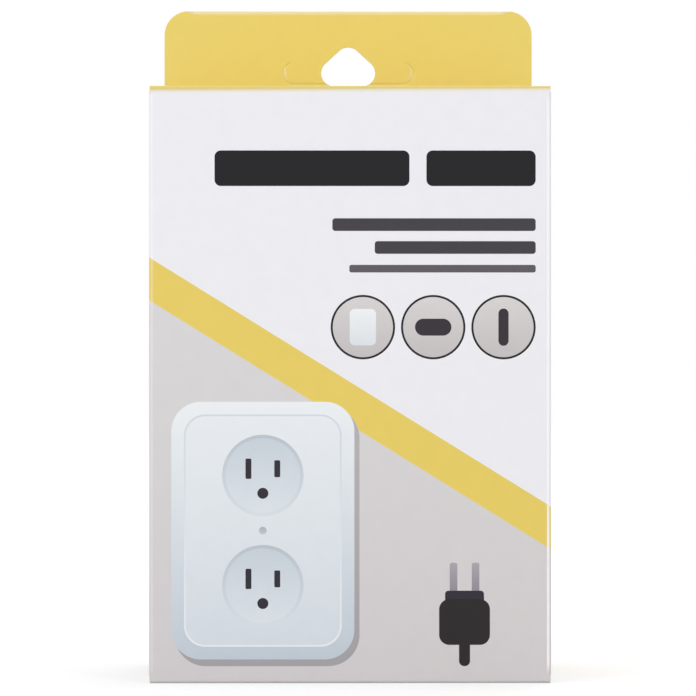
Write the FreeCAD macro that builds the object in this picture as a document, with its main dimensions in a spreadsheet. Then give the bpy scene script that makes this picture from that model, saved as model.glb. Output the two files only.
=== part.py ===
# Hanging carton folded from one blank of coated paperboard, with a tuck-in top flap.
# X runs across the front, Y from the front panel to the back panel, Z up.
# The origin is the middle of the underside.

import FreeCAD, Part
import math
import os
import Sketcher

sizes = {
    # the closed carton, outside
    "carton_width": 95,
    "carton_depth": 64,
    "carton_height": 141,
    # the board, and the outside radius of its scored folds
    "board": 0.5,
    "fold": 1,
    # how far each flap stays inside the carton's sides
    "flap_inset": 0.2,
    # the glued bottom: an outer flap from the front, an inner one from the back, dust flaps inside them
    "outer_flap_gap": 1.2,
    "inner_flap_gap": 1.8,
    "bottom_dust_length": 36,
    "bottom_dust_gap": 1.5,
    # the glue flap of the seam: its reach, the stretch beside its fold that keeps full height, and its taper
    "seam_width": 14,
    "seam_shoulder": 1,
    "seam_taper": 4,
    # the two top dust flaps: reach, clearances and plan shape
    "dust_length": 38,
    "dust_front_gap": 1.5,
    "dust_back_gap": 0.5,
    "dust_drop": 0.15,
    "dust_taper": 4,
    "dust_shoulder": 2.5,
    "dust_corner": 5,
    # the hang tab: two layers, folded over along the top edge, the front one glued down inside the back panel
    "tab_inset": 1.5,
    "tab_height": 22.5,
    "tab_corner": 6,
    "leg_length": 18,
    "leg_corner": 4,
    # the hang hole, a rounded triangle, and the slot round it that is cut only part way through
    "hole_level": 7,
    "hole_base": 3.5,
    "hole_rise": 3.2,
    "hole_corner": 3.3,
    "slot_length": 32.8,
    "slot_height": 5.8,
    "slot_cut_width": 0.2,
    "slot_cut_depth": 0.15,
    # the top flap: its score line inside the front and top faces, the play there, and the tuck lip
    "hinge_setback": 0.4,
    "score_gap": 0.2,
    "lip_gap": 0.3,
    "lip_length": 15,
    "lip_inset": 1.4,
    "lip_corner": 9,
}

doc = FreeCAD.newDocument("HangingCarton")
sheet = doc.addObject("Spreadsheet::Sheet", "Sizes")
for row, (alias, number) in enumerate(sizes.items(), start=1):
    sheet.set(f"A{row}", alias)
    sheet.set(f"B{row}", str(number))
    sheet.setAlias(f"B{row}", alias)
doc.recompute()

# faces and levels that several features share, as expressions on the sheet
front = "(-Sizes.carton_depth/2)"
back = "(Sizes.carton_depth/2)"
side = "(Sizes.carton_width/2)"
top = "Sizes.carton_height"
board = "Sizes.board"
fold = "Sizes.fold"
inner_fold = "(Sizes.fold-Sizes.board)"
flap_width = "Sizes.carton_width-2*Sizes.flap_inset"
walls_low = "(2*Sizes.board+Sizes.fold)"
walls_high = f"({top}-{board}-Sizes.dust_drop-{fold})"
seam_root = f"({back}-{fold}-Sizes.seam_shoulder)"
tab_top = f"({top}+Sizes.tab_height)"
tab_front = f"({back}-2*{board})"

# the lip is an arc round the score line, so that it swings clear of the back panel
hinge_y = f"({front}+Sizes.hinge_setback)"
hinge_z = f"({top}-Sizes.hinge_setback)"
lip_radius = f"({tab_front}-Sizes.lip_gap-{hinge_y})"
lip_inner_radius = f"({lip_radius}-{board})"

left_turn = 1
right_turn = -1


def add_sketch(body, name, plane, offset="0"):
    """A sketch on one of the body's origin planes, moved along the plane's normal."""
    sketch = body.newObject("Sketcher::SketchObject", name)
    origin_plane = [item for item in body.Origin.OriginFeatures if item.Role == plane][0]
    sketch.AttachmentSupport = [(origin_plane, "")]
    sketch.MapMode = "FlatFace"
    sketch.setExpression("AttachmentOffset.Base.z", offset)
    return sketch


def fix_point(sketch, across, up):
    """A construction point held by two dimensions, each bound to its expression."""
    number = sketch.addGeometry(Part.Point(FreeCAD.Vector(0, 0, 0)), True)
    for kind, expression in (("DistanceX", across), ("DistanceY", up)):
        row = sketch.addConstraint(Sketcher.Constraint(kind, -1, 1, number, 1, 1.0))
        sketch.setExpression(f"Constraints[{row}]", expression)
    return number


def first_arc(start, end):
    """A sixth of a circle, counter-clockwise from start to end. Its Radius dimension then gives its size."""
    chord = end - start
    to_left = FreeCAD.Vector(-chord.y, chord.x, 0)
    centre = (start + end) * 0.5 + to_left * math.sqrt(0.75)
    circle = Part.Circle(centre, FreeCAD.Vector(0, 0, 1), chord.Length)
    angles = [math.atan2(place.y - centre.y, place.x - centre.x) for place in (start, end)]
    return Part.ArcOfCircle(circle, angles[0], angles[1])


def draw_loop(sketch, corners):
    """One closed loop. A corner is (across, up) where a straight line follows it,
    and (across, up, turn, radius) where an arc does."""
    points = [fix_point(sketch, corner[0], corner[1]) for corner in corners]
    doc.recompute()
    places = [FreeCAD.Vector(sketch.Geometry[point].X, sketch.Geometry[point].Y, 0) for point in points]
    for index, corner in enumerate(corners):
        following = (index + 1) % len(corners)
        ends = [index, following]
        if len(corner) == 2:
            number = sketch.addGeometry(Part.LineSegment(places[index], places[following]), False)
        else:
            if corner[2] == right_turn:
                ends.reverse()
            number = sketch.addGeometry(first_arc(places[ends[0]], places[ends[1]]), False)
        for vertex, end in enumerate(ends, start=1):
            sketch.addConstraint(Sketcher.Constraint("Coincident", number, vertex, points[end], 1))
        if len(corner) > 2:
            row = sketch.addConstraint(Sketcher.Constraint("Radius", number, 1.0))
            sketch.setExpression(f"Constraints[{row}]", corner[3])


def pad(body, sketch, name, length, symmetric=False):
    """Give a sketch its thickness, along its normal or to both sides of it."""
    feature = body.newObject("PartDesign::Pad", name)
    feature.Profile = sketch
    if symmetric:
        feature.SideType = "Symmetric"
    feature.setExpression("Length", length)
    doc.recompute()
    return feature


def pocket(body, sketch, name, length, symmetric=False):
    """Cut a sketch into the body, against its normal or to both sides of it."""
    before = body.Shape.Volume
    feature = body.newObject("PartDesign::Pocket", name)
    feature.Profile = sketch
    if symmetric:
        feature.SideType = "Symmetric"
    feature.setExpression("Length", length)
    doc.recompute()
    if body.Shape.Volume >= before:
        raise RuntimeError(f"{name} cuts nothing")
    return feature


def walls_loop(inset, radius, seam):
    """The outer or inner line of the folded walls seen from above, counter-clockwise from the front panel's
    right fold. The back panel's fold at the left lies inside the left panel, so seam says what joins them."""
    return [
        (f"{side}-{fold}", f"{front}+{inset}", left_turn, radius),
        (f"{side}-{inset}", f"{front}+{fold}"),
        (f"{side}-{inset}", f"{back}-{fold}", left_turn, radius),
        (f"{side}-{fold}", f"{back}-{inset}"),
        (f"-{side}+{board}+{fold}", f"{back}-{inset}", left_turn, radius),
        *seam,
        (f"-{side}+{inset}", f"{front}+{fold}", left_turn, radius),
        (f"-{side}+{fold}", f"{front}+{inset}"),
    ]


def add_walls(body):
    """The four panels and the upright folds between them, the left panel's cut edge showing at the back."""
    sketch = add_sketch(body, "WallsPlan", "XY_Plane", walls_low)
    draw_loop(sketch, walls_loop("0", fold, [
        (f"-{side}+{board}", f"{back}-{fold}"),
        (f"-{side}", f"{back}-{fold}"),
    ]))
    draw_loop(sketch, walls_loop(board, inner_fold, [
        (f"-{side}+2*{board}", f"{back}-{fold}"),
        (f"-{side}+2*{board}", seam_root),
        (f"-{side}+{board}", seam_root),
    ]))
    pad(body, sketch, "Walls", f"{walls_high}-{walls_low}")


def add_seam(body):
    """The glue flap that closes the tube, from the back panel, inside the left one, its ends tapered."""
    sketch = add_sketch(body, "SeamOutline", "YZ_Plane", f"-{side}+{board}")
    edge = f"{back}-{fold}-Sizes.seam_width"
    draw_loop(sketch, [
        (seam_root, walls_low),
        (seam_root, walls_high),
        (edge, f"{walls_high}-Sizes.seam_taper"),
        (edge, f"{walls_low}+Sizes.seam_taper"),
    ])
    pad(body, sketch, "Seam", board)


def add_bottom(body):
    """The glued bottom: dust flaps from the sides, then the back's flap, then the front's outermost."""
    outer = add_sketch(body, "OuterFlapProfile", "YZ_Plane")
    draw_loop(outer, [
        (front, fold, left_turn, fold),
        (f"{front}+{fold}", "0"),
        (f"{back}-Sizes.outer_flap_gap", "0"),
        (f"{back}-Sizes.outer_flap_gap", board),
        (f"{front}+{fold}", board, right_turn, inner_fold),
        (f"{front}+{board}", fold),
        (f"{front}+{board}", walls_low),
        (front, walls_low),
    ])
    pad(body, outer, "OuterFlap", flap_width, symmetric=True)

    inner = add_sketch(body, "InnerFlapProfile", "YZ_Plane")
    draw_loop(inner, [
        (f"{back}-{fold}", board, left_turn, fold),
        (back, f"{board}+{fold}"),
        (back, walls_low),
        (f"{back}-{board}", walls_low),
        (f"{back}-{board}", f"{board}+{fold}", right_turn, inner_fold),
        (f"{back}-{fold}", f"2*{board}"),
        (f"{front}+Sizes.inner_flap_gap", f"2*{board}"),
        (f"{front}+Sizes.inner_flap_gap", board),
    ])
    pad(body, inner, "InnerFlap", flap_width, symmetric=True)

    dust = add_sketch(body, "BottomDustProfile", "XZ_Plane")
    for sign, inward, outward in (("-", left_turn, right_turn), ("", right_turn, left_turn)):
        draw_loop(dust, [
            (f"{sign}{side}", walls_low, inward, fold),
            (f"{sign}({side}-{fold})", f"2*{board}"),
            (f"{sign}({side}-Sizes.bottom_dust_length)", f"2*{board}"),
            (f"{sign}({side}-Sizes.bottom_dust_length)", f"3*{board}"),
            (f"{sign}({side}-{fold})", f"3*{board}", outward, inner_fold),
            (f"{sign}({side}-{board})", walls_low),
        ])
    pad(body, dust, "BottomDust", "Sizes.carton_depth-2*Sizes.bottom_dust_gap", symmetric=True)


def add_top_dust(body):
    """The top dust flaps: each side panel's fold, then the flap, tapered in front and shouldered behind."""
    back_edge = f"({hinge_y}+{lip_inner_radius}-Sizes.dust_back_gap)"
    front_edge = f"({front}+Sizes.dust_front_gap)"
    level = f"({walls_high}+{fold})"

    folds = add_sketch(body, "TopDustFoldProfile", "XZ_Plane", f"-{back_edge}")
    for sign, inward, outward in (("-", right_turn, left_turn), ("", left_turn, right_turn)):
        draw_loop(folds, [
            (f"{sign}{side}", walls_high, inward, fold),
            (f"{sign}({side}-{fold})", level),
            (f"{sign}({side}-{fold})", f"{level}-{board}", outward, inner_fold),
            (f"{sign}({side}-{board})", walls_high),
        ])
    pad(body, folds, "TopDustFolds", f"{back_edge}-{front_edge}")

    flaps = add_sketch(body, "TopDustOutline", "XY_Plane", f"{level}-{board}")
    root = f"({side}-{fold})"
    tip = f"({side}-Sizes.dust_length)"
    corner = "Sizes.dust_corner"
    front_side = f"({front_edge}+Sizes.dust_taper)"
    back_side = f"({back_edge}-Sizes.dust_shoulder)"
    for sign, turn in (("-", left_turn), ("", right_turn)):
        draw_loop(flaps, [
            (f"{sign}{root}", front_edge),
            (f"{sign}({tip}+{corner})", front_side, turn, corner),
            (f"{sign}{tip}", f"{front_side}+{corner}"),
            (f"{sign}{tip}", f"{back_side}-{corner}", turn, corner),
            (f"{sign}({tip}+{corner})", back_side),
            (f"{sign}({root}-Sizes.dust_shoulder)", back_side),
            (f"{sign}{root}", back_edge),
        ])
    pad(body, flaps, "TopDust", board)


def add_front_edge(body):
    """The front panel's last stretch, up to the score of the top flap."""
    sketch = add_sketch(body, "FrontEdgeProfile", "YZ_Plane")
    edge = f"{top}-{fold}-Sizes.score_gap"
    draw_loop(sketch, [
        (front, walls_high),
        (f"{front}+{board}", walls_high),
        (f"{front}+{board}", edge),
        (front, edge),
    ])
    pad(body, sketch, "FrontEdge", flap_width, symmetric=True)


def add_tab(body):
    """The hang tab and the leg of its front layer, glued together and to the back panel."""
    sketch = add_sketch(body, "TabOutline", "XZ_Plane", f"-{back}")
    half = f"({side}-Sizes.tab_inset)"
    low = f"({top}-Sizes.leg_length)"
    draw_loop(sketch, [
        (f"{half}-Sizes.leg_corner", low, left_turn, "Sizes.leg_corner"),
        (half, f"{low}+Sizes.leg_corner"),
        (half, f"{tab_top}-Sizes.tab_corner", left_turn, "Sizes.tab_corner"),
        (f"{half}-Sizes.tab_corner", tab_top),
        (f"-{half}+Sizes.tab_corner", tab_top, left_turn, "Sizes.tab_corner"),
        (f"-{half}", f"{tab_top}-Sizes.tab_corner"),
        (f"-{half}", f"{low}+Sizes.leg_corner", left_turn, "Sizes.leg_corner"),
        (f"-{half}+Sizes.leg_corner", low),
    ])
    pad(body, sketch, "Tab", f"2*{board}")


def round_tab_fold(body):
    """The top edge is a fold, half round between the corners, which are cut through both layers."""
    sketch = add_sketch(body, "TabFoldProfile", "YZ_Plane")
    start = f"{tab_top}-{board}"
    beyond = f"{tab_top}+{board}"
    draw_loop(sketch, [
        (back, start, left_turn, board),
        (f"{back}-{board}", tab_top, left_turn, board),
        (tab_front, start),
        (f"{tab_front}-{board}", start),
        (f"{tab_front}-{board}", beyond),
        (f"{back}+{board}", beyond),
        (f"{back}+{board}", start),
    ])
    pocket(body, sketch, "TabFold", f"2*({side}-Sizes.tab_inset-Sizes.tab_corner)", symmetric=True)


def cut_hang_hole(body):
    """A rounded triangle through both layers: three equal arcs and their tangents."""
    sketch = add_sketch(body, "HangHoleOutline", "XZ_Plane", f"-{tab_front}")
    level = f"({top}+Sizes.hole_level)"
    slope = "sqrt(Sizes.hole_base^2+Sizes.hole_rise^2)"
    out = f"Sizes.hole_corner*Sizes.hole_rise/{slope}"
    up = f"Sizes.hole_corner*Sizes.hole_base/{slope}"
    radius = "Sizes.hole_corner"
    draw_loop(sketch, [
        ("-Sizes.hole_base", f"{level}-{radius}"),
        ("Sizes.hole_base", f"{level}-{radius}", left_turn, radius),
        (f"Sizes.hole_base+{radius}", level, left_turn, radius),
        (f"Sizes.hole_base+{out}", f"{level}+{up}"),
        (out, f"{level}+Sizes.hole_rise+{up}", left_turn, radius),
        (f"-{out}", f"{level}+Sizes.hole_rise+{up}"),
        (f"-Sizes.hole_base-{out}", f"{level}+{up}", left_turn, radius),
        (f"-Sizes.hole_base-{radius}", level, left_turn, radius),
    ])
    pocket(body, sketch, "HangHole", f"2*{board}")


def cut_slot_line(body):
    """The slot's two wings, scored from the front and left in place: their lower edges and round ends."""
    sketch = add_sketch(body, "SlotLine", "XZ_Plane", f"-{tab_front}")
    level = f"({top}+Sizes.hole_level)"
    middle = "(Sizes.slot_length/2-Sizes.slot_height/2)"
    outer = "(Sizes.slot_height/2+Sizes.slot_cut_width/2)"
    inner = "(Sizes.slot_height/2-Sizes.slot_cut_width/2)"
    for sign, turn, turn_back in (("-", right_turn, left_turn), ("", left_turn, right_turn)):
        draw_loop(sketch, [
            (f"{sign}Sizes.hole_base", f"{level}-{outer}"),
            (f"{sign}{middle}", f"{level}-{outer}", turn, outer),
            (f"{sign}({middle}+{outer})", level, turn, outer),
            (f"{sign}{middle}", f"{level}+{outer}"),
            (f"{sign}{middle}", f"{level}+{inner}", turn_back, inner),
            (f"{sign}({middle}+{inner})", level, turn_back, inner),
            (f"{sign}{middle}", f"{level}-{inner}"),
            (f"{sign}Sizes.hole_base", f"{level}-{inner}"),
        ])
    pocket(body, sketch, "SlotCut", "Sizes.slot_cut_depth")


def make_carton_body():
    """The folded and glued carton without its top flap."""
    body = doc.addObject("PartDesign::Body", "CartonBody")
    body.Label = "carton_body"
    add_walls(body)
    add_seam(body)
    add_bottom(body)
    add_front_edge(body)
    add_top_dust(body)
    add_tab(body)
    round_tab_fold(body)
    cut_hang_hole(body)
    cut_slot_line(body)
    return body


def add_flap_board(body):
    """The flap from its front fold over the top and down the arc of the tuck lip, as one band of board."""
    sketch = add_sketch(body, "FlapProfile", "YZ_Plane")
    # the back fold's centre, from the hinge, and how far the lip's lower end is from it
    fold_across = f"sqrt(({lip_radius}-{fold})^2-({fold}-Sizes.hinge_setback)^2)"
    fold_down = f"({fold}-Sizes.hinge_setback)"
    fold_middle = f"({hinge_y}+{fold_across})"
    lip_across = f"sqrt({lip_radius}^2-Sizes.lip_length^2)"

    def on_lip(radius, across, down):
        """The point of a circle round the hinge that lies towards (across, down)."""
        length = f"sqrt(({across})^2+({down})^2)"
        return f"{hinge_y}+{radius}*{across}/{length}", f"{hinge_z}-{radius}*{down}/{length}"

    draw_loop(sketch, [
        (front, f"{top}-{fold}", right_turn, fold),
        (f"{front}+{fold}", top),
        (fold_middle, top, right_turn, fold),
        (*on_lip(lip_radius, fold_across, fold_down), right_turn, lip_radius),
        on_lip(lip_radius, lip_across, "Sizes.lip_length"),
        (*on_lip(lip_inner_radius, lip_across, "Sizes.lip_length"), left_turn, lip_inner_radius),
        (*on_lip(lip_inner_radius, fold_across, fold_down), left_turn, inner_fold),
        (fold_middle, f"{top}-{board}"),
        (f"{front}+{fold}", f"{top}-{board}", left_turn, inner_fold),
        (f"{front}+{board}", f"{top}-{fold}"),
    ])
    pad(body, sketch, "FlapBoard", flap_width, symmetric=True)


def trim_lip(body):
    """The lip is narrower than the panel and its lower corners are round."""
    sketch = add_sketch(body, "LipTrim", "XZ_Plane")
    edge = f"({side}-Sizes.flap_inset-Sizes.lip_inset)"
    low = f"({hinge_z}-Sizes.lip_length)"
    corner = "Sizes.lip_corner"
    for sign, turn in (("-", left_turn), ("", right_turn)):
        draw_loop(sketch, [
            (f"{sign}{side}", f"{top}-{fold}"),
            (f"{sign}{side}", f"{low}-{board}"),
            (f"{sign}({edge}-{corner})", f"{low}-{board}"),
            (f"{sign}({edge}-{corner})", low, -turn, corner),
            (f"{sign}{edge}", f"{low}+{corner}"),
            (f"{sign}{edge}", f"{top}-{fold}"),
        ])
    pocket(body, sketch, "LipCut", "Sizes.carton_depth")


def make_top_flap():
    """The top panel and its tuck lip, from the score along the front edge."""
    body = doc.addObject("PartDesign::Body", "TopFlap")
    body.Label = "top_flap"
    add_flap_board(body)
    trim_lip(body)
    return body


def check(bodies):
    """Stop before anything is written if a feature failed or a body is not one sound solid."""
    for item in doc.Objects:
        if "Invalid" in item.State or "Error" in item.State:
            raise RuntimeError(f"{item.Name} failed: {item.State}")
    for body in bodies:
        shape = body.Shape
        if shape.isNull() or not shape.isValid() or len(shape.Solids) != 1:
            raise RuntimeError(f"{body.Label} is not one sound solid")
        print(body.Label, "volume", round(shape.Volume, 1), "faces", len(shape.Faces), shape.BoundBox)


parts = [make_carton_body(), make_top_flap()]
doc.recompute()
check(parts)
os.makedirs("parts", exist_ok=True)
for part in parts:
    part.Shape.exportStep(f"parts/{part.Label}.step")
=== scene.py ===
import math

import bpy
import numpy as np
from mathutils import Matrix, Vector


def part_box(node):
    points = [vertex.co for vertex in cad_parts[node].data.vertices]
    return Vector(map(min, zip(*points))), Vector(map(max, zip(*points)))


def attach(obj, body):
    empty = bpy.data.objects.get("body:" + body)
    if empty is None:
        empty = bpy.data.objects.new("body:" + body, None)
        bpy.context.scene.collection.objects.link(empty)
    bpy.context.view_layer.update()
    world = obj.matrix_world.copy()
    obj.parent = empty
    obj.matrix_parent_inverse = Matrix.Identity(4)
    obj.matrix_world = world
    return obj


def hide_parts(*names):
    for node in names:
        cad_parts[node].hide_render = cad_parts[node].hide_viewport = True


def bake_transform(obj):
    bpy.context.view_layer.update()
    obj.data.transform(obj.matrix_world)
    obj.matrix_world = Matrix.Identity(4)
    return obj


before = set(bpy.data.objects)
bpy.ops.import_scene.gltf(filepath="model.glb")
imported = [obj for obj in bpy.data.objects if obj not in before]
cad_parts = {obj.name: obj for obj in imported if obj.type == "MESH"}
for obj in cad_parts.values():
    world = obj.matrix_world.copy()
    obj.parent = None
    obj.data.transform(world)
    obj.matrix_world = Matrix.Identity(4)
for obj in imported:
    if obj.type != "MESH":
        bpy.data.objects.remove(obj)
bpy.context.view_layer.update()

mm = 0.001   # every length below is in millimetres and becomes metres as its mesh is made

# the carton's outside, read from the frame
bodyLow, bodyHigh = (np.array(corner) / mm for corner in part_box("carton_body"))
flapLow, flapHigh = (np.array(corner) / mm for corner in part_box("top_flap"))
halfWidth = bodyHigh[0]
halfDepth = bodyHigh[1]
cartonTop = flapHigh[2]
tabTop = bodyHigh[2]
flapHalf = flapHigh[0]
print("frame loaded: carton", 2 * halfWidth, "x", 2 * halfDepth, "x", cartonTop, "mm")

# the board that every panel is made of
board = {
    "thickness": 0.5,
    "fold": 1.0,          # outside radius of a scored fold
    "foldSteps": 14,      # grid steps round one fold
    "edgeRound": 0.04,    # how far a cut edge swells between its two faces
    "edgeDepths": (0.1, 0.9),   # shares of the thickness between which it does
    "dustDrop": 0.15,     # how far the dust flaps lie under the top panel
}
thick = board["thickness"]
fold = board["fold"]
wallsLow = 2 * thick + fold
wallsHigh = cartonTop - thick - board["dustDrop"] - fold


# Materials

def linearColour(hexCode):
    # sRGB hex to linear light, channel by channel
    values = np.array([int(hexCode[i:i + 2], 16) for i in (1, 3, 5)]) / 255
    values = np.where(values <= 0.04045, values / 12.92, ((values + 0.055) / 1.055) ** 2.4)
    return (*values.tolist(), 1.0)


def addNode(tree, kind, inputs=None, **settings):
    node = tree.nodes.new(kind)
    for name, value in settings.items():
        setattr(node, name, value)
    for name, value in (inputs or {}).items():
        if isinstance(value, bpy.types.NodeSocket):
            tree.links.new(value, node.inputs[name])
        else:
            node.inputs[name].default_value = value
    return node


def newMaterial(name, roughness, ior):
    material = bpy.data.materials.new(name)
    material.use_nodes = True
    shader = material.node_tree.nodes["Principled BSDF"]
    shader.inputs["Roughness"].default_value = roughness
    shader.inputs["IOR"].default_value = ior
    return material, material.node_tree, shader


# the print on the blank, in the blank's own millimetres: across from the middle of the front and up from its
# foot
printField = {
    "white": "#EEEDF2",
    "yellow": "#E7CD64",
    "topYellow": "#EAD371",
    "greyLow": "#D3CECF",
    "greyHigh": "#DAD8D9",
    "greyReach": 100,       # height at which the grey is lightest
    "bandAtMiddle": 66,     # height of the band's middle line at the middle of the front
    "bandSlope": -0.62,     # rise for each millimetre to the right
    "bandHalf": 4.3,        # half its width, square to itself
    "yellowFrom": 139.4,    # over the front fold the white begins to turn yellow here
    "yellowFull": 140.7,    # and the top and the tab are yellow from here on
    "yellowSkew": 0.2,      # its edge lies this much lower at the left of the front, higher at the right,
    "skewReach": 47,        # this far from the middle
    "creaseShadeAt": 140.45,  # painted shade: the front-to-top fold is darker here, where less light falls on it
    "creaseShadeHalf": 0.62,
    "creaseShadeDepth": 0.86,
    "foldPaleAndHighlight": 0.34,       # how far a fold pales: stretched coating, and a painted highlight
    # the colour a fold pales to: the board's white coating, and the painted highlight
    "paleCoatingAndHighlight": "#FCF9F9",
}

# plain shapes, each drawn over those before it: middle, half sizes, corner radius, ink at the top, ink at
# the foot
plateShapes = [   # a wall plate on its shadow, round the plate's middle
    ((1.0, -1.4), (21.8, 30.6), 7.4, "#B7B3B4", "#A5A2A6"),
    ((0, 0), (21.6, 30.4), 7.0, "#EDF1F4", "#C3CCD6"),
    ((0, 0), (18.6, 27.4), 5.0, "#D3DAE1", "#EAEFF3"),
    ((0, 0), (18.2, 27.0), 4.7, "#E9EDF1", "#D6DDE4"),
    ((0, 0), (0.9, 0.9), 0.9, "#A9B2BB", "#C3CBD2"),
]
socketShapes = [   # a round socket, round its own middle
    ((0, 0), (9.6, 9.6), 9.6, "#BAC4CE", "#D9E0E6"),
    ((0, 0), (8.8, 8.8), 8.8, "#C9D2DA", "#DDE3E9"),
    ((-3.4, 1.6), (0.7, 2.4), 0.3, "#2A2530", "#2A2530"),
    ((3.4, 1.6), (0.7, 2.0), 0.3, "#2A2530", "#2A2530"),
    ((0, -4.2), (1.3, 1.3), 1.3, "#2A2530", "#2A2530"),
]
plugShapes = [   # two pins, a shoulder, the body and the end of its lead, round the body's middle
    ((-2.6, 10.2), (0.9, 3.8), 0.5, "#A9A6AD", "#8B8790"),
    ((2.6, 10.2), (0.9, 3.8), 0.5, "#A9A6AD", "#8B8790"),
    ((0, 5.8), (4.6, 1.6), 0.8, "#2A2530", "#2A2530"),
    ((0, 0), (6.0, 5.4), 2.4, "#1E191C", "#1E191C"),
    ((0, -6.8), (1.3, 3.6), 1.2, "#1E191C", "#1E191C"),
]
barShapes = [   # dark bars where a box has its words, in their places on the blank
    ((-9.0, 121.5), (23.0, 4.2), 1.5, "#100D12", "#100D12"),
    ((30.9, 121.5), (12.9, 4.2), 1.5, "#100D12", "#100D12"),
    ((19.8, 108.2), (24.0, 1.5), 0.7, "#3F3B42", "#3F3B42"),
    ((24.8, 102.8), (19.0, 1.5), 0.7, "#3F3B42", "#3F3B42"),
    ((21.8, 97.8), (22.0, 0.9), 0.5, "#5C585F", "#5C585F"),
]
iconShapes = [   # a ring and its field, round the icon's middle
    ((0, 0), (7.6, 7.6), 7.6, "#1E191C", "#1E191C"),
    ((0, 0), (7.1, 7.1), 7.1, "#D8D4D4", "#C4BFC0"),
]
iconSigns = [   # the plain shape inside each icon, from the left
    ((0, 0), (3.1, 4.3), 1.2, "#F1F3F5", "#DCE2E7"),
    ((0, 0), (4.3, 2.0), 2.0, "#302B33", "#302B33"),
    ((0, 0), (1.2, 4.4), 1.2, "#302B33", "#302B33"),
]
printPlaces = {
    "plate": (-20.6, 36.0),
    "sockets": ((-20.6, 49.0), (-20.6, 23.0)),
    "plug": (27.0, 14.4),
    "icons": ((3.0, 84.0), (19.6, 84.0), (36.2, 84.0)),
}


def placeShapes(shapes, middle):
    return [((at[0] + middle[0], at[1] + middle[1]), *rest) for at, *rest in shapes]


printShapes = placeShapes(plateShapes, printPlaces["plate"])
for middle in printPlaces["sockets"]:
    printShapes += placeShapes(socketShapes, middle)
printShapes += placeShapes(plugShapes, printPlaces["plug"]) + barShapes
for middle, sign in zip(printPlaces["icons"], iconSigns):
    printShapes += placeShapes([*iconShapes, sign], middle)


def paintPrint(tree):
    # white field, straight yellow band, warm grey field under it, then the plain shapes and a painted shade in
    # the front-to-top crease; returns the colour and how much each point pales, from stretched coating and
    # painted highlight
    blank = addNode(tree, "ShaderNodeAttribute", attribute_name="blank").outputs["Vector"]
    place = addNode(tree, "ShaderNodeSeparateXYZ", {0: blank})
    across, up, paleAndHighlight = (place.outputs[i] for i in range(3))
    flat = addNode(tree, "ShaderNodeCombineXYZ", {0: across, 1: up}).outputs[0]

    def mathNode(operation, first, second=0):
        return addNode(tree, "ShaderNodeMath", {0: first, 1: second}, operation=operation).outputs[0]

    def vectorNode(operation, first, second=(0, 0, 0)):
        return addNode(tree, "ShaderNodeVectorMath", {0: first, 1: second}, operation=operation)

    def shareOf(value, start, end):
        ends = {"Value": value, "From Min": start, "From Max": end}
        return addNode(tree, "ShaderNodeMapRange", ends).outputs[0]

    def mixColour(factor, first, second):
        node = addNode(tree, "ShaderNodeMix", {0: factor, 6: first, 7: second}, data_type="RGBA")
        return node.outputs[2]

    # signed distance above the band's middle line, square to it
    slope = printField["bandSlope"]
    length = math.hypot(1, slope)
    normal = (-slope / length, 1 / length, 0)
    along = vectorNode("DOT_PRODUCT", flat, normal).outputs["Value"]
    height = mathNode("SUBTRACT", along, printField["bandAtMiddle"] / length)
    colour = mixColour(shareOf(up, 0, printField["greyReach"]),
                       linearColour(printField["greyLow"]), linearColour(printField["greyHigh"]))
    colour = mixColour(mathNode("GREATER_THAN", height, -printField["bandHalf"]),
                       colour, linearColour(printField["yellow"]))
    colour = mixColour(mathNode("GREATER_THAN", height, printField["bandHalf"]),
                       colour, linearColour(printField["white"]))
    for middle, half, corner, topInk, footInk in printShapes:
        # distance to a rounded rectangle: how far the point lies outside the inner rectangle, less the radius
        offset = vectorNode("ABSOLUTE", vectorNode("SUBTRACT", flat, (*middle, 0)).outputs[0])
        outside = vectorNode("SUBTRACT", offset.outputs[0], (half[0] - corner, half[1] - corner, 0))
        distance = vectorNode("LENGTH", vectorNode("MAXIMUM", outside.outputs[0]).outputs[0])
        within = mathNode("LESS_THAN", distance.outputs["Value"], corner)
        share = shareOf(up, middle[1] - half[1], middle[1] + half[1])
        colour = mixColour(within, colour, mixColour(share, linearColour(footInk), linearColour(topInk)))
    skew = addNode(tree, "ShaderNodeMapRange", {
        "Value": across, "From Min": -printField["skewReach"], "From Max": printField["skewReach"],
        "To Min": printField["yellowSkew"], "To Max": -printField["yellowSkew"]}).outputs[0]
    level = mathNode("ADD", up, skew)
    over = shareOf(level, printField["yellowFrom"], printField["yellowFull"])
    colour = mixColour(over, colour, linearColour(printField["topYellow"]))
    # painted shade in the crease: darkest in its middle, it ends softly at the given half width
    offMiddle = mathNode("ABSOLUTE", mathNode("SUBTRACT", level, printField["creaseShadeAt"]))
    shade = addNode(tree, "ShaderNodeMapRange", {
        "Value": offMiddle, "From Min": 0, "From Max": printField["creaseShadeHalf"],
        "To Min": printField["creaseShadeDepth"], "To Max": 1}, interpolation_type="SMOOTHSTEP").outputs[0]
    shaded = addNode(tree, "ShaderNodeMix", {0: 1.0, 6: colour, 7: shade},
                     data_type="RGBA", blend_type="MULTIPLY")
    return shaded.outputs[2], paleAndHighlight


noiseSpan = (0.3, 0.7)   # nearly all of a noise's values lie between these


def addNoise(tree, place, size, detail):
    # patches about this many millimetres across: half the noise's period
    scale = 0.5 / (size * mm)
    return addNode(tree, "ShaderNodeTexNoise", {"Vector": place, "Scale": scale, "Detail": detail}).outputs[0]


def spreadNoise(tree, noise, low, high):
    return addNode(tree, "ShaderNodeMapRange", {
        "Value": noise, "From Min": noiseSpan[0], "From Max": noiseSpan[1],
        "To Min": low, "To Max": high}).outputs[0]


def addBump(tree, shader, height, strength, depth):
    bump = addNode(tree, "ShaderNodeBump", {"Height": height, "Strength": strength, "Distance": depth * mm})
    tree.links.new(bump.outputs[0], shader.inputs["Normal"])


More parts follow.
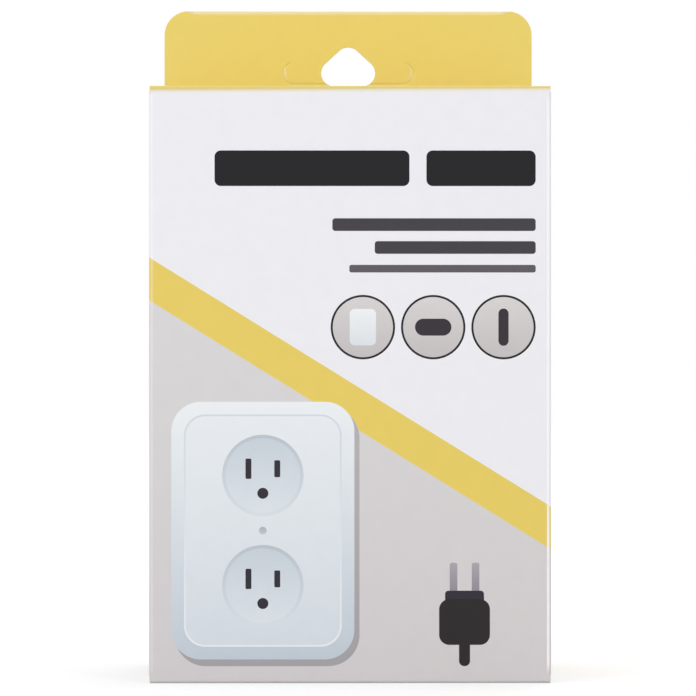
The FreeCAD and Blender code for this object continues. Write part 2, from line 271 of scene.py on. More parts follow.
def printedBoard():
    # solid bleached board, clay coated, offset printed and varnished: even colour, satin sheen, faint
    # dimpling; the IOR is under varnish's 1.5, so that the dark ink stays as dark as it is on the real one
    material, tree, shader = newMaterial("varnishedPrintedBoard", 0.24, 1.34)
    colour, paleAndHighlight = paintPrint(tree)
    place = addNode(tree, "ShaderNodeTexCoord").outputs["Object"]
    # the ink lies a little unevenly, in patches about 2 mm across
    shade = spreadNoise(tree, addNoise(tree, place, 2, 3), 0.99, 1.008)
    inked = addNode(tree, "ShaderNodeMix", {0: 1.0, 6: colour, 7: shade},
                    data_type="RGBA", blend_type="MULTIPLY")
    # a fold stretches the ink, so the white coating shows through it, unevenly over about 1.5 mm; the same
    # paling also stands in for the light on the folds, a painted highlight
    full = printField["foldPaleAndHighlight"]
    amount = spreadNoise(tree, addNoise(tree, place, 1.5, 2), 0.75 * full, full)
    paledAndHighlit = addNode(tree, "ShaderNodeMath", {0: amount, 1: paleAndHighlight}, operation="MULTIPLY")
    paleCoatingAndHighlight = linearColour(printField["paleCoatingAndHighlight"])
    pale = addNode(tree, "ShaderNodeMix", {0: paledAndHighlit.outputs[0], 6: inked.outputs[2], 7: paleCoatingAndHighlight},
                   data_type="RGBA")
    tree.links.new(pale.outputs[2], shader.inputs["Base Color"])
    # varnish dimples 0.35 mm across
    addBump(tree, shader, addNoise(tree, place, 0.35, 2), 0.12, 0.02)
    return material


def addFibres(tree, shader, fibres, darker, lighter):
    # bare fibre: its colour runs from the darker to the lighter one with the noise
    shade = addNode(tree, "ShaderNodeValToRGB", {0: fibres})
    for element, position, hexCode in zip(shade.color_ramp.elements, noiseSpan, (darker, lighter)):
        element.position = position
        element.color = linearColour(hexCode)
    tree.links.new(shade.outputs[0], shader.inputs["Base Color"])


def plainBoard():
    # the unprinted inside of the same board: matt, warm white, with faint short fibres
    material, tree, shader = newMaterial("uncoatedBoardInside", 0.82, 1.45)
    place = addNode(tree, "ShaderNodeTexCoord").outputs["Object"]
    # the fibres lie along the board's grain, here across the carton: 0.25 mm wide and five times as long
    grain = addNode(tree, "ShaderNodeMapping", {"Vector": place, "Scale": (0.2, 1, 1)})
    fibres = addNoise(tree, grain.outputs[0], 0.25, 4)
    addFibres(tree, shader, fibres, "#DFD9CC", "#EBE6DB")
    addBump(tree, shader, fibres, 0.15, 0.02)
    return material


def cutBoard():
    # die-cut edge of the board: bare fibre with a grain of about 0.12 mm, a shade darker than the inside
    material, tree, shader = newMaterial("dieCutBoardEdge", 0.9, 1.45)
    place = addNode(tree, "ShaderNodeTexCoord").outputs["Object"]
    fibres = addNoise(tree, place, 0.125, 3)
    addFibres(tree, shader, fibres, "#CFC4AC", "#EFE8D8")
    addBump(tree, shader, fibres, 0.4, 0.04)
    return material


printed = printedBoard()
inside = plainBoard()
cut = cutBoard()
print("materials made")


# Board meshes

outerSide, cutSide, innerSide = 0, 1, 2   # the places of the materials on every piece
hair = 0.01   # millimetres by which a comparison is let off


# A folded profile, walked counter-clockwise along the board's outer face. A step is (length, segments) for a
# run and (radius, degrees, segments) for a bend to the left; the board's inside is on the left. Returns the
# points, the outward normals, the distance walked and how much each point belongs to a fold.
def walkBoard(start, headingDegrees, steps):
    points, angles = [np.array([start])], [np.array([headingDegrees])]
    walked, folded = [np.zeros(1)], [np.zeros(1)]
    for step in steps:
        place, angle, distance = points[-1][-1], math.radians(angles[-1][-1]), walked[-1][-1]
        share = np.arange(1, step[-1] + 1) / step[-1]
        if len(step) == 2:
            heading = np.array([math.cos(angle), math.sin(angle)])
            points.append(place + np.outer(share * step[0], heading))
            angles.append(np.full(share.shape, angles[-1][-1]))
            walked.append(distance + share * step[0])
            folded.append(np.zeros(share.shape))
        else:
            radius, turn = step[0], math.radians(step[1])
            centre = place + radius * np.array([-math.sin(angle), math.cos(angle)])
            turned = angle + share * turn
            points.append(centre + radius * np.stack([np.sin(turned), -np.cos(turned)], axis=1))
            angles.append(np.degrees(turned))
            walked.append(distance + share * turn * radius)
            folded.append(np.sin(share * math.pi))
    heading = np.radians(np.concatenate(angles))
    normals = np.stack([np.sin(heading), -np.cos(heading)], axis=1)
    return np.concatenate(points), normals, np.concatenate(walked), np.concatenate(folded)


def gridLoops(rows, columns, around):
    # the grid's edges as closed lines of point numbers, in the direction that suits the rims
    number = np.arange(rows * columns).reshape(rows, columns)
    if around:
        return [number[::-1, 0], number[:, -1]]
    return [np.concatenate([number[0, :-1], number[:-1, -1], number[-1, :0:-1], number[:0:-1, 0]])]


# A board from a grid of points on its outer face: the inner face is the same grid moved back along the
# normals by the thickness. A rim joins the two round every edge, in rings that go from one face to the other
# and swell outwards by the given amounts. around closes the grid in its first direction, so that it has a
# hole. rims gives for each edge the rings' depths, their swells, the material and which way they swell, where
# that isn't straight on from the grid.
def makeBoard(name, body, outer, normals, blank, thickness=thick,
              around=False, rims=None, bare=(cut, inside)):
    rows, columns = outer.shape[:2]
    outer, normals, blank = (grid.reshape(-1, 3) for grid in (outer, normals, blank))
    count = rows * columns
    number = np.arange(count).reshape(rows, columns)
    following = np.roll(number, -1, axis=0) if around else number[1:]
    near = number if around else number[:-1]
    quads = np.stack([near[:, :-1], following[:, :-1], following[:, 1:], near[:, 1:]], axis=-1).reshape(-1, 4)
    points = [outer, outer - thickness * normals]
    marks = [blank, blank]
    faces = [quads, quads[:, ::-1] + count]
    kinds = [np.full(len(quads), outerSide), np.full(len(quads), innerSide)]
    plainRim = (board["edgeDepths"], board["edgeRound"], cutSide, None)
    total = 2 * count
    for index, loop in enumerate(gridLoops(rows, columns, around)):
        row, column = np.divmod(loop, columns)
        inner = np.clip(column, 1, columns - 2) + columns * (row if around else np.clip(row, 1, rows - 2))
        away = outer[loop] - outer[inner]
        away /= np.maximum(np.linalg.norm(away, axis=1, keepdims=True), 1e-9)
        depths, swells, kind, aim = rims[index] if rims else plainRim
        swells = np.broadcast_to(swells, (len(loop), len(depths)))
        if aim is not None:
            away = np.where(np.isnan(aim), away, aim)
        rings = [loop]
        for ring, depth in enumerate(depths):
            points.append(outer[loop] - depth * thickness * normals[loop] + away * swells[:, ring:ring + 1])
            marks.append(blank[loop])
            rings.append(np.arange(total, total + len(loop)))
            total += len(loop)
        rings.append(loop + count)
        for ring, following in zip(rings, rings[1:]):
            faces.append(np.stack([ring, np.roll(ring, -1), np.roll(following, -1), following], axis=-1))
            kinds.append(np.broadcast_to(kind, len(loop)))
    points, marks, faces = np.concatenate(points), np.concatenate(marks), np.concatenate(faces)
    # turn every face round if the outer ones look inwards
    middle = faces[len(quads) // 2]
    side = np.cross(points[middle[2]] - points[middle[0]], points[middle[3]] - points[middle[1]])
    if np.dot(side, normals[middle[0]]) < 0:
        faces = faces[:, ::-1]
    return meshPiece(name, body, points, faces, np.concatenate(kinds), marks, bare)


def meshPiece(name, body, points, faces, kinds, marks, bare):
    mesh = bpy.data.meshes.new(name)
    mesh.vertices.add(len(points))
    mesh.vertices.foreach_set("co", (points * mm).astype(np.float32).ravel())
    mesh.loops.add(faces.size)
    mesh.loops.foreach_set("vertex_index", faces.astype(np.int32).ravel())
    mesh.polygons.add(len(faces))
    mesh.polygons.foreach_set("loop_start", np.arange(0, faces.size, 4, dtype=np.int32))
    mesh.polygons.foreach_set("material_index", kinds.astype(np.int32))
    attribute = mesh.attributes.new("blank", "FLOAT_VECTOR", "POINT")
    attribute.data.foreach_set("vector", marks.astype(np.float32).ravel())
    for material in (printed, *bare):
        mesh.materials.append(material)
    mesh.update(calc_edges=True)
    mesh.validate()
    mesh.polygons.foreach_set("use_smooth", np.ones(len(mesh.polygons), bool))
    mesh.set_sharp_from_angle(angle=math.radians(35))
    piece = bpy.data.objects.new(name, mesh)
    bpy.context.scene.collection.objects.link(piece)
    if body:
        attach(piece, body)
    return piece


def foldBend():
    return (fold, 90, board["foldSteps"])


# Walls

walls = {
    "runSteps": 26,       # grid steps across each panel
    "upSteps": 56,
    "bow": 0.22,          # how far a panel stands out in its middle
    "wave": 0.03,         # height of the board's slow waves
    "waveLength": 47,
    "wavePhase": 1,       # radians by which the waves across are shifted
    "waveStretch": 1.3,   # the waves up the panel are this much longer
    "waveSlant": 60,      # and shift by a radian in this many millimetres across
    # paling along the two shoulders of each upright fold, beside that of a plain fold: stretched coating and
    # painted highlight, the highlight strongest on the front's shoulder of the fold to the right side; in
    # walking order: left side to front, front to right side, right side to back, back to left side
    "shoulderPaleAndHighlight": ((0.4, 0.5), (3.2, 0.4), (1.2, 1.6), (1.4, 0.8)),
    "shoulderRun": 0.1,   # how far it reaches onto the flat panel
    "shoulderWidth": 0.8,
    "shoulderFade": 0.6,  # it fades out at the top and the foot over this height
    "seamWidth": 14,
    "seamShoulder": 1,
    "seamTaper": 4,
}


# The tube: the profile of the four panels seen from above, carried up. Each point moves outwards by the bow
# times the square of (1 - a squared)(1 - b squared), a and b running from -1 to 1 across the panel and up it,
# and by two crossed sines that fade out in the same way.
def makeWalls():
    deepRun = 2 * (halfDepth - fold)
    wideRun = 2 * (halfWidth - fold)
    backRun = wideRun - thick
    tapered = walls["seamWidth"] - walls["seamShoulder"]
    edge = (walls["shoulderRun"], 1)
    steps = []
    for run in (deepRun, wideRun, deepRun, backRun):
        steps += [edge, (run - 2 * walls["shoulderRun"], walls["runSteps"]), edge, foldBend()]
    steps += [(walls["seamShoulder"], 2), (tapered, 8)]
    profile, outward, walked = walkBoard((-halfWidth, halfDepth - fold), -90, steps)[:3]
    frontMiddle = deepRun + fold * math.pi / 2 + wideRun / 2
    across = walked - frontMiddle
    # each point's place across its own panel, from -1 to 1; folds count as 1
    place = np.ones(len(walked))
    begin = 0
    for step in steps:
        end = begin + step[-1]
        if len(step) == 2 and step[0] > walls["seamWidth"]:
            place[begin:end + 1] = np.linspace(-1, 1, step[-1] + 1)
        begin = end
    # the glue flap's ends are tapered
    beyond = np.clip(walked - (walked[-1] - tapered), 0, None) / tapered
    low = wallsLow + walls["seamTaper"] * beyond
    high = wallsHigh - walls["seamTaper"] * beyond
    up = np.linspace(0, 1, walls["upSteps"] + 1)
    level = low[:, None] + (high - low)[:, None] * up
    window = ((1 - place[:, None] ** 2) * (1 - (2 * up - 1) ** 2)) ** 2
    wave = 2 * math.pi / walls["waveLength"]
    waves = np.sin(across[:, None] * wave + walls["wavePhase"]) * np.sin(
        level * wave / walls["waveStretch"] + across[:, None] / walls["waveSlant"])
    out = window * (walls["bow"] + walls["wave"] * waves)
    outer = np.stack([
        profile[:, 0, None] + out * outward[:, 0, None],
        profile[:, 1, None] + out * outward[:, 1, None],
        level,
    ], axis=-1)
    normals = np.broadcast_to(np.column_stack([outward, np.zeros(len(outward))])[:, None], outer.shape)
    # the print pales along both shoulders of a fold, from stretched coating and a painted highlight: a
    # flattened sine of the distance from where its bend begins, counted from a little way onto the flat panel
    bend = fold * math.pi / 2
    middles = np.cumsum([deepRun, bend, wideRun, bend, deepRun, bend, backRun, bend])[1::2] - bend / 2
    beside = walked[:, None] - middles
    nearest = np.abs(beside).argmin(axis=1)
    beside = beside[np.arange(len(walked)), nearest]
    share = np.clip((walls["shoulderRun"] + bend / 2 - np.abs(beside)) / walls["shoulderWidth"], 0, 1)
    pale = np.array(walls["shoulderPaleAndHighlight"])[nearest, (beside > 0).astype(int)]
    pale = (pale * np.clip(1.5 * np.sin(math.pi * share), 0, 1))[:, None]
    toEnd = np.minimum(level - low[:, None], high[:, None] - level)
    pale = pale * np.clip(toEnd / walls["shoulderFade"], 0, 1)
    blank = np.stack(np.broadcast_arrays(across[:, None], level, pale), axis=-1)
    return makeBoard("cartonWalls", "carton", outer, normals, blank)


yellowLevel = 2 * cartonTop   # a height on the blank that is well inside the yellow, as all above it is


# A flap carried across the front or back: a profile in the plane that looks along X, as wide as half says at
# each point of it. blankUp gives the blank's height from the distance walked.
def makeCrossFlap(name, body, profile, half, blankUp, columns=24, blankAside=0.0):
    points, outward, walked, folded = profile
    side = np.broadcast_to(half, walked.shape)[:, None] * np.linspace(-1, 1, columns + 1)
    outer = np.stack(np.broadcast_arrays(side, points[:, 0, None], points[:, 1, None]), axis=-1)
    normals = np.broadcast_to(np.column_stack([np.zeros(len(outward)), outward])[:, None], outer.shape)
    up = blankUp(walked)
    blank = np.stack(np.broadcast_arrays(side + blankAside, up[:, None], folded[:, None]), axis=-1)
    return makeBoard(name, body, outer, normals, blank)


bottom = {
    "outerGap": 1.2,
    "innerGap": 1.8,
    "dustLength": 36,
    "dustGap": 1.5,
    "blankBehind": 260,    # the back's print is white: any place this far along the blank is
}


def makeBottom():
    # outermost flap, from the front panel's foot back to its free edge
    profile = walkBoard((-halfDepth, wallsLow), -90, [
        (wallsLow - fold, 2), foldBend(), (2 * halfDepth - fold - bottom["outerGap"], 30)])
    outer = makeCrossFlap("bottomOuterFlap", "carton", profile, flapHalf, lambda walked: wallsLow - walked)
    # next layer, from its free edge to the back panel's foot
    run = 2 * halfDepth - bottom["innerGap"] - fold
    profile = walkBoard((-halfDepth + bottom["innerGap"], thick), 0, [
        (run, 30), foldBend(), (wallsLow - thick - fold, 2)])
    inner = makeCrossFlap("bottomInnerFlap", "carton", profile, flapHalf, lambda walked: walked - run,
                          blankAside=bottom["blankBehind"])
    return [outer, inner]


# A flap folded from a side panel: a profile in the plane that looks along Y, between a front and a back limit
# at each point of it. sign is -1 for the left side.
def makeSideFlap(name, sign, profile, limits, columns=20):
    points, outward, folded = profile[0], profile[1], profile[3]
    first, last = limits
    share = np.linspace(0, 1, columns + 1)
    depth = first[:, None] + (last - first)[:, None] * share
    outer = np.stack(np.broadcast_arrays(sign * points[:, 0, None], depth, points[:, 1, None]), axis=-1)
    facing = np.column_stack([sign * outward[:, 0], np.zeros(len(outward)), outward[:, 1]])
    normals = np.broadcast_to(facing[:, None], outer.shape)
    blank = np.stack(np.broadcast_arrays(bottom["blankBehind"], depth, folded[:, None]), axis=-1)
    return makeBoard(name, "carton", outer, normals, blank)


dust = {
    "length": 38,
    "frontGap": 1.5,
    "backGap": 0.5,
    "taper": 4,
    "shoulder": 2.5,
    "corner": 5,
}


def makeBottomDust(sign, name):
    run = bottom["dustLength"] - fold
    start = (halfWidth - bottom["dustLength"], 2 * thick)
    profile = walkBoard(start, 0, [(run, 16), foldBend()])
    limit = np.full(profile[2].shape, halfDepth - bottom["dustGap"])
    return makeSideFlap(name, sign, profile, (-limit, limit))


# Top dust flap: from the fold the front edge runs back by the taper and the back edge steps in by the
# shoulder; both end in quarter circles at the tip.
def makeTopDust(sign, name, backEdge):
    corner = dust["corner"]
    straightRun = dust["length"] - fold - corner
    tipSteps = 12
    profile = walkBoard((halfWidth, wallsHigh), 90, [
        foldBend(), (dust["shoulder"], 4), (straightRun - dust["shoulder"], 18), (corner, tipSteps)])
    points = profile[0]
    # the last run is spaced by equal turns of the corner's quarter circle
    turn = np.linspace(0, math.pi / 2, tipSteps + 1)
    points[-tipSteps - 1:, 0] = halfWidth - fold - straightRun - corner * np.sin(turn)
    reach = np.clip(halfWidth - fold - points[:, 0], 0, None)
    rounding = corner - np.sqrt(np.clip(corner ** 2 - np.clip(reach - straightRun, 0, None) ** 2, 0, None))
    first = -halfDepth + dust["frontGap"] + dust["taper"] * np.clip(reach / straightRun, 0, 1) + rounding
    last = backEdge - np.clip(reach, 0, dust["shoulder"]) - rounding
    return makeSideFlap(name, sign, profile, (first, last))


# Top flap

topFlap = {
    "hingeSetback": 0.4,   # the score line, inside the front and top faces
    "lipGap": 0.3,
    "lipLength": 15,
    "lipInset": 1.4,
    "lipCorner": 9,
    "overlap": 0.5,        # how far the bending crease runs into the flat board at each end
}
hinge = (-halfDepth + topFlap["hingeSetback"], cartonTop - topFlap["hingeSetback"])
lipRadius = halfDepth - 2 * thick - topFlap["lipGap"] - hinge[0]


# The lip is an arc round the score line; the back fold is tangent to it and to the top.
def makeTopFlap():
    down = fold - topFlap["hingeSetback"]
    foldAcross = math.sqrt((lipRadius - fold) ** 2 - down ** 2)
    lipAngle = math.degrees(math.asin(topFlap["lipLength"] / lipRadius))
    startAngle = math.degrees(math.asin(down / (lipRadius - fold)))
    lipEnd = (hinge[0] + lipRadius * math.cos(math.radians(lipAngle)), hinge[1] - topFlap["lipLength"])
    lipSteps = 30
    panelRun = hinge[0] + foldAcross - (-halfDepth + fold + topFlap["overlap"])
    profile = walkBoard(lipEnd, 90 - lipAngle, [
        (lipRadius, lipAngle - startAngle, lipSteps), (fold, 90 + startAngle, board["foldSteps"]),
        (panelRun, 40)])
    points = profile[0]
    # the lip's big arc isn't a fold
    profile[3][:lipSteps + 1] = 0
    # the lip is narrower than the panel, with round lower corners
    narrow = flapHalf - topFlap["lipInset"]
    rise = np.clip(topFlap["lipCorner"] - (points[:, 1] - lipEnd[1]), 0, None)
    half = narrow - (topFlap["lipCorner"] - np.sqrt(np.clip(topFlap["lipCorner"] ** 2 - rise ** 2, 0, None)))
    half = np.where(points[:, 1] > cartonTop - fold + hair, flapHalf, half)
    return makeCrossFlap("topPanel", "flap", profile, half, lambda walked: yellowLevel + walked, columns=40)


# The crease between the front panel and the top.
def makeCrease():
    overlap = topFlap["overlap"]
    profile = walkBoard((-halfDepth + fold + overlap, cartonTop), 180, [
        (overlap, 3), foldBend(), (cartonTop - fold - wallsHigh, 4)])
    profile[3][:] = 0   # its print turns from white to yellow and doesn't pale
    length = overlap + fold * math.pi / 2
    crease = makeCrossFlap("frontCrease", None, profile, flapHalf,
                           lambda walked: cartonTop - fold + length - walked)
    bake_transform(crease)
    return crease


# Hang tab

hangTab = {
    "inset": 1.5,
    "corner": 6,
    "legLength": 18,
    "legCorner": 4,
    "holeLevel": 7,
    "holeBase": 3.5,
    "holeRise": 3.2,
    "holeCorner": 3.3,
    "slotLength": 32.8,
    "slotHeight": 5.8,
    "cutEdge": 0.24,      # width of the tab's crushed edge, inside the slot
    "wingEdge": 0.34,     # width of a wing's own crushed edge, inside that
    "edgePale": (0.2, 0.75),   # how much the print pales on a wing's edge, along its foot and round its end
    "cutDepth": 0.15,     # share of the doubled board at which the crushed edges meet
    "wingTilt": 1.0,      # degrees that the wings stand forward at their lower edge
    "paleAndHighlightRun": 0.6,       # height below the folded top over which its print pales: a painted highlight on the fold, and stretched coating
    # rings of the rim, as shares of the doubled board's thickness; the layers meet at the middle one
    "rimDepths": (0.04, 0.15, 0.31, 0.44, 0.5, 0.56, 0.69, 0.85, 0.96),
    "rows": 18,           # grid steps from the hole to the outline
    "turnSteps": 180,     # grid steps round the hole, beside those at the corners
    "topSteps": 40,       # and along the folded top
}
tabHalf = halfWidth - hangTab["inset"]
tabFront = halfDepth - 2 * thick
holeMiddle = cartonTop + hangTab["holeLevel"]


def arcPoints(centre, radius, startDegrees, endDegrees, steps):
    angle = np.radians(np.linspace(startDegrees, endDegrees, steps + 1))
    return np.stack([centre[0] + radius * np.cos(angle), centre[1] + radius * np.sin(angle)], axis=1)


def holeOutline():
    # three equal arcs and their tangents, counter-clockwise from the lower left
    base, rise, corner = (hangTab[name] for name in ("holeBase", "holeRise", "holeCorner"))
    lean = math.degrees(math.atan2(base, rise))
    return np.concatenate([
        arcPoints((-base, 0), corner, 180, 270, 16),
        arcPoints((base, 0), corner, 270, 360 + lean, 24),
        arcPoints((0, rise), corner, lean, 180 - lean, 16),
        arcPoints((-base, 0), corner, 180 - lean, 180, 8),
    ])


slotRadius = hangTab["slotHeight"] / 2
slotMiddle = hangTab["slotLength"] / 2 - slotRadius


def slotOutline(edge):
    # the slot less a crushed edge, which narrows to nothing at the upper side, where the wings hang
    turn = np.radians(np.linspace(-90, 90, 25))
    reach = slotRadius - edge * np.clip(1 - np.sin(turn), 0, 1)
    right = np.stack([slotMiddle + reach * np.cos(turn), reach * np.sin(turn)], axis=1)
    return np.concatenate([right, right[::-1] * (-1, 1)])


def tabOutline():
    # the tab above the carton's walls, round the middle of the hole
    foot = wallsHigh - holeMiddle
    head = tabTop - holeMiddle
    corner = hangTab["corner"]
    return np.concatenate([
        [[-tabHalf, foot], [tabHalf, foot]],
        arcPoints((tabHalf - corner, head - corner), corner, 0, 90, 14),
        arcPoints((-tabHalf + corner, head - corner), corner, 90, 180, 14),
    ])


def reachAt(outline, angles):
    # how far a line from the middle at each angle goes before it meets the closed, star-shaped outline
    first, second = outline, np.roll(outline, -1, axis=0)
    ray = np.stack([np.cos(angles), np.sin(angles)], axis=1)
    edge = second - first
    crossed = ray[:, None, 0] * edge[None, :, 1] - ray[:, None, 1] * edge[None, :, 0]
    safe = np.where(np.abs(crossed) < 1e-12, 1e-12, crossed)
    distance = (first[:, 0] * edge[:, 1] - first[:, 1] * edge[:, 0])[None] / safe
    share = (first[None, :, 0] * ray[:, None, 1] - first[None, :, 1] * ray[:, None, 0]) / safe
    hit = (distance > 0) & (share >= -1e-6) & (share <= 1 + 1e-6)
    return np.where(hit, distance, 0).max(axis=1)


# The tab is a flat grid between two star-shaped outlines, the hole with its slot and the tab's own edge, on
# the same set of angles. Its two layers make one board of double thickness. The straight top is a fold, so
# there the rim is a half circle; elsewhere it shows the two cut layers with a fine line between them.
def makeTab():
    outline, hole, slot = tabOutline(), holeOutline(), slotOutline(0)
    known = [np.arctan2(line[:, 1], line[:, 0]) for line in (outline, hole, slot)]
    head = tabTop - holeMiddle
    topHalf = tabHalf - hangTab["corner"]
    topAngles = np.arctan2(head, np.linspace(-1, 1, hangTab["topSteps"] + 1) * topHalf)
    even = np.linspace(-math.pi, math.pi, hangTab["turnSteps"] + 1)[:-1]
    # none closer than 0.001 radians
    angles = np.unique(np.round(np.concatenate([*known, topAngles, even]), 3))
    angles = angles[angles < math.pi]   # half a turn is already there as minus half a turn
    outerReach = reachAt(outline, angles)
    holeReach, slotReach = reachAt(hole, angles), reachAt(slot, angles)
    innerReach = np.maximum(holeReach, slotReach)
    # below its crushed edge the slot closes up to the wings, so the cut is a groove and not a gap
    closeUp = slotReach - np.maximum(holeReach, reachAt(slotOutline(hangTab["cutEdge"]), angles)) + hair
    closeUp = np.where(slotReach > holeReach, closeUp, 0)[::-1, None]
    ray = np.stack([np.cos(angles), np.sin(angles)], axis=1)
    edge = ray * outerReach[:, None]
    folded = (np.abs(edge[:, 0]) < topHalf + hair) & (edge[:, 1] > head - hair)
    outerReach = np.where(folded, outerReach - thick / ray[:, 1].clip(0.1), outerReach)
    share = np.linspace(0, 1, hangTab["rows"] + 1)
    reach = innerReach[:, None] + (outerReach - innerReach)[:, None] * share
    across = reach * ray[:, None, 0]
    up = holeMiddle + reach * ray[:, None, 1]
    outer = np.stack([across, np.full(across.shape, tabFront), up], axis=-1)
    normals = np.broadcast_to([0.0, -1.0, 0.0], outer.shape)
    # painted highlight along the folded top, with stretched coating: the print pales towards it
    pale = np.clip(1 - (tabTop - thick - up) / hangTab["paleAndHighlightRun"], 0, 1) * folded[:, None]
    blank = np.stack([across + bottom["blankBehind"], up + yellowLevel, pale], axis=-1)
    # how far each ring of the rim stands out, for the fold and for a cut edge
    depths = np.array(hangTab["rimDepths"])
    halfCircle = thick * np.sin(np.arccos(1 - 2 * depths))
    flat = np.where(depths == 0.5, -board["edgeRound"], board["edgeRound"])
    swells = np.where(folded[:, None], halfCircle, flat)
    kind = np.where(folded & np.roll(folded, -1), outerSide, cutSide)
    groove = np.clip(np.minimum(depths, 1 - depths) / hangTab["cutDepth"], 0, 1)
    innerSwells = np.where(closeUp > 0, closeUp * groove, flat)
    innerKind = np.where(closeUp[:, 0] > 0, outerSide, cutSide)
    straightUp = np.where(folded[:, None], [0.0, 0.0, 1.0], np.nan)
    rims = [(depths, innerSwells, innerKind, None), (depths, swells, kind, straightUp)]
    return makeBoard("hangTab", "carton", outer, normals, blank, thickness=2 * thick,
                     around=True, rims=rims, bare=(cut, printed))


def makeLeg():
    # the front layer's leg, glued down inside the back panel, with round lower corners
    steps = 12
    corner = hangTab["legCorner"]
    low = cartonTop - hangTab["legLength"]
    turn = np.linspace(0, math.pi / 2, steps + 1)
    straight = np.linspace(low + corner, wallsHigh, 10)[1:]
    height = np.concatenate([low + corner * (1 - np.cos(turn)), straight])
    rise = np.clip(corner - (height - low), 0, None)
    half = tabHalf - (corner - np.sqrt(np.clip(corner ** 2 - rise ** 2, 0, None)))
    across = half[:, None] * np.linspace(-1, 1, 25)
    outer = np.stack(np.broadcast_arrays(across, tabFront, height[:, None]), axis=-1)
    normals = np.broadcast_to([0.0, -1.0, 0.0], outer.shape)
    blank = np.stack(np.broadcast_arrays(across, height[:, None] + yellowLevel, 0.0), axis=-1)
    return makeBoard("tabLeg", "carton", outer, normals, blank)


# A slot wing fills the slot between the hole and the slot's round end. Each row runs from the hole's edge to
# the end's arc. Both crushed edges keep the flat of it off the slot's outline, by a width that is full from
# the arc's middle down and none at its top, and the rim fills the wing's own. The wing turns forward about its
# upper edge.
def makeWing(sign, name):
    turn = np.linspace(-math.pi / 2, math.pi / 2, 25)
    narrowing = np.clip(1 - np.sin(turn), 0, 1)
    reach = slotRadius - (hangTab["cutEdge"] + hangTab["wingEdge"]) * narrowing
    height = reach * np.sin(turn)
    angles = np.linspace(-1.2, 1.2, 400)   # the hole's side, well past the slot's height both ways
    holeReach = reachAt(holeOutline(), angles)
    level, aside = holeReach * np.sin(angles), holeReach * np.cos(angles)
    rising = np.argsort(level)
    # the hole's edge at each row, and where the crushed edge ends on it
    start = np.interp(height, level[rising], aside[rising])
    foot = np.interp(hangTab["cutEdge"] - slotRadius, level[rising], aside[rising])
    end = slotMiddle + reach * np.cos(turn)
    across = start[:, None] + (end - start)[:, None] * np.linspace(0, 1, 21)
    tilt = math.radians(hangTab["wingTilt"])
    drop = (slotRadius - height)[:, None] * np.ones(across.shape)
    outer = np.stack([
        sign * across,
        tabFront - drop * math.sin(tilt),
        holeMiddle + slotRadius - drop * math.cos(tilt),
    ], axis=-1)
    normals = np.broadcast_to([0.0, -math.cos(tilt), math.sin(tilt)], outer.shape)
    # the print pales along the crushed edge, most beside the round end
    pale = np.zeros(across.shape)
    pale[0] = hangTab["edgePale"][0]
    pale[:, -1] = np.maximum(pale[:, -1], hangTab["edgePale"][1] * np.cos(turn))
    blank = np.stack([sign * across, np.full(across.shape, yellowLevel), pale], axis=-1)
    # the crushed edge runs all round but at the hole, square to the slot's outline
    row, column = np.divmod(gridLoops(*across.shape, False)[0], across.shape[1])
    atHole = (column == 0) & (row > 0)
    width = hangTab["wingEdge"] * narrowing[row]
    atEnd = column == across.shape[1] - 1
    aside = np.where(atEnd, width * np.cos(turn[row]), 0)
    aside[(column == 0) & (row == 0)] = foot - start[0]
    square = np.stack([sign * aside, 0 * aside, width * np.sin(turn[row])], axis=1)
    swells = np.where(atHole, board["edgeRound"], 1)[:, None]
    kind = np.where(atHole, cutSide, outerSide)
    depths = (hangTab["cutDepth"], 0.5, 1 - hangTab["cutDepth"])
    edge = [(depths, swells, kind, np.where(atHole[:, None], np.nan, square))]
    return makeBoard(name, "carton", outer, normals, blank, thickness=2 * thick,
                     rims=edge, bare=(cut, printed))


bodyPieces = [makeWalls()]
print("walls made")
bodyPieces += makeBottom()
bodyPieces += [makeBottomDust(1, "bottomDustRight"), makeBottomDust(-1, "bottomDustLeft")]
dustBack = hinge[0] + lipRadius - thick - dust["backGap"]
bodyPieces += [makeTopDust(1, "topDustRight", dustBack), makeTopDust(-1, "topDustLeft", dustBack)]
print("bottom and dust flaps made")
bodyPieces += [makeTab(), makeLeg(), makeWing(1, "slotWingRight"), makeWing(-1, "slotWingLeft")]
print("hang tab made")
flapPieces = [makeTopFlap(), makeCrease()]
print("top flap made")
for piece in bodyPieces:
    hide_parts("carton_body")
for piece in flapPieces:
    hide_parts("top_flap")


# Stage, lights and camera

stage = {
    "floorSize": 6.0,
    "floorLevel": -0.00005,      # a hair under the carton, whose bottom would flicker through it
    "floorColour": "#D8D8D8",
    "floorLift": (0.38, 0.58),   # light added where the camera sees the floor, to make it white: near, far
    "liftReach": (0.1, 0.7),     # metres from the middle at which those hold
    "ambient": 0.8,
    "lamps": [
        # name, place, width and height, power in watts
        ("keySoftbox", (-1.0, -1.14, 0.4), (1.0, 1.0), 6.1),
        ("stripLight", (0.82, -1.32, 0.45), (0.08, 1.2), 3.2),
        ("backFill", (0.5, 1.7, 0.9), (1.0, 1.0), 5.0),
    ],
}


def seenDirectly(tree):
    # 1 for rays from the camera, a reflection or a clear surface, so that all three see the white background
    path = addNode(tree, "ShaderNodeLightPath")
    seen = path.outputs["Is Camera Ray"]
    for ray in ("Is Glossy Ray", "Is Transmission Ray"):
        both = {0: seen, 1: path.outputs[ray]}
        seen = addNode(tree, "ShaderNodeMath", both, operation="MAXIMUM").outputs[0]
    return seen


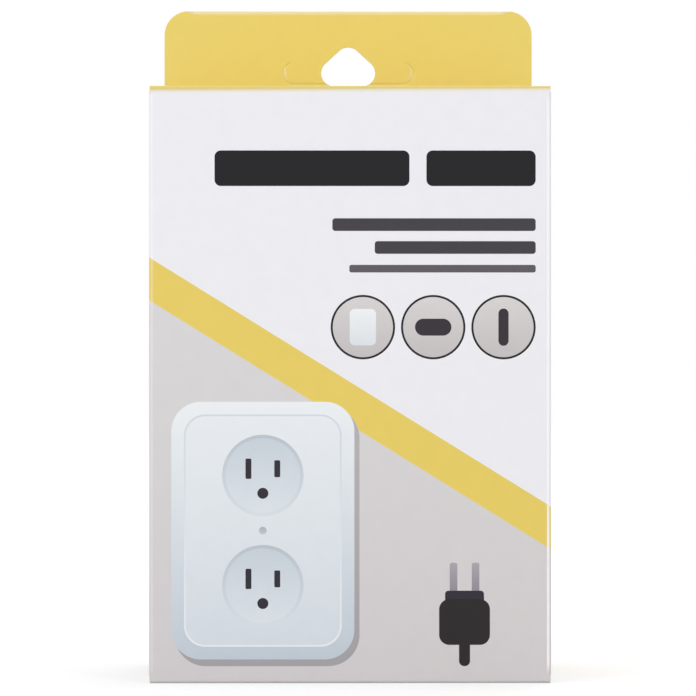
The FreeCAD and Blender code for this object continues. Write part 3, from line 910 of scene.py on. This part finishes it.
def makeFloor():
    half, level = stage["floorSize"] / 2, stage["floorLevel"]
    mesh = bpy.data.meshes.new("studioFloor")
    corners = [(-half, -half, level), (half, -half, level), (half, half, level), (-half, half, level)]
    mesh.from_pydata(corners, [], [(0, 1, 2, 3)])
    floor = bpy.data.objects.new("studioFloor", mesh)
    bpy.context.scene.collection.objects.link(floor)
    # painted studio floor: matt white, so that only the soft shadow shows
    material, tree, shader = newMaterial("mattWhiteFloor", 0.95, 1.45)
    shader.inputs["Base Color"].default_value = linearColour(stage["floorColour"])
    # less is added near the carton, so that its soft shadow stays
    place = addNode(tree, "ShaderNodeTexCoord").outputs["Object"]
    away = addNode(tree, "ShaderNodeVectorMath", {0: place}, operation="LENGTH").outputs["Value"]
    lift = addNode(tree, "ShaderNodeMapRange", {
        "Value": away, "From Min": stage["liftReach"][0], "From Max": stage["liftReach"][1],
        "To Min": stage["floorLift"][0], "To Max": stage["floorLift"][1]}).outputs[0]
    strength = addNode(tree, "ShaderNodeMath", {0: seenDirectly(tree), 1: lift}, operation="MULTIPLY")
    tree.links.new(strength.outputs[0], shader.inputs["Emission Strength"])
    shader.inputs["Emission Color"].default_value = (1, 1, 1, 1)
    mesh.materials.append(material)


def makeWorld():
    world = bpy.data.worlds.new("studioWhite")
    bpy.context.scene.world = world
    world.use_nodes = True
    tree = world.node_tree
    background = tree.nodes["Background"]
    background.inputs["Color"].default_value = (1, 1, 1, 1)
    strength = addNode(tree, "ShaderNodeMix", {0: seenDirectly(tree), 2: stage["ambient"], 3: 1.0})
    tree.links.new(strength.outputs[0], background.inputs["Strength"])


def makeLamps():
    for name, place, size, power in stage["lamps"]:
        light = bpy.data.lights.new(name, "AREA")
        light.shape = "RECTANGLE"
        light.size, light.size_y = size
        light.energy = power
        lamp = bpy.data.objects.new(name, light)
        lamp.location = place
        aim = np.array([0, 0, cartonTop / 2 * mm]) - np.array(place)
        lamp.rotation_euler = (math.atan2(math.hypot(aim[0], aim[1]), -aim[2]), 0,
                               math.atan2(aim[1], aim[0]) - math.pi / 2)
        bpy.context.scene.collection.objects.link(lamp)


camera = {
    "distance": 1.0046,     # metres from the front panel
    "height": 0.07908,
    "aside": -0.008,
    "turn": 0.4273,         # degrees to the right
    "lens": 220.2,
    "sensor": 36,
    "farthest": 50,
}


def makeCamera():
    lens = bpy.data.cameras.new("camera")
    lens.lens = camera["lens"]
    lens.sensor_width = camera["sensor"]
    lens.clip_end = camera["farthest"]
    seen = bpy.data.objects.new("camera", lens)
    seen.location = (camera["aside"], -halfDepth * mm - camera["distance"], camera["height"])
    seen.rotation_euler = (math.pi / 2, 0, -math.radians(camera["turn"]))
    bpy.context.scene.collection.objects.link(seen)
    bpy.context.scene.camera = seen


makeFloor()
makeWorld()
makeLamps()
makeCamera()
bpy.context.scene.view_settings.view_transform = "Standard"
print("stage, lights and camera made")
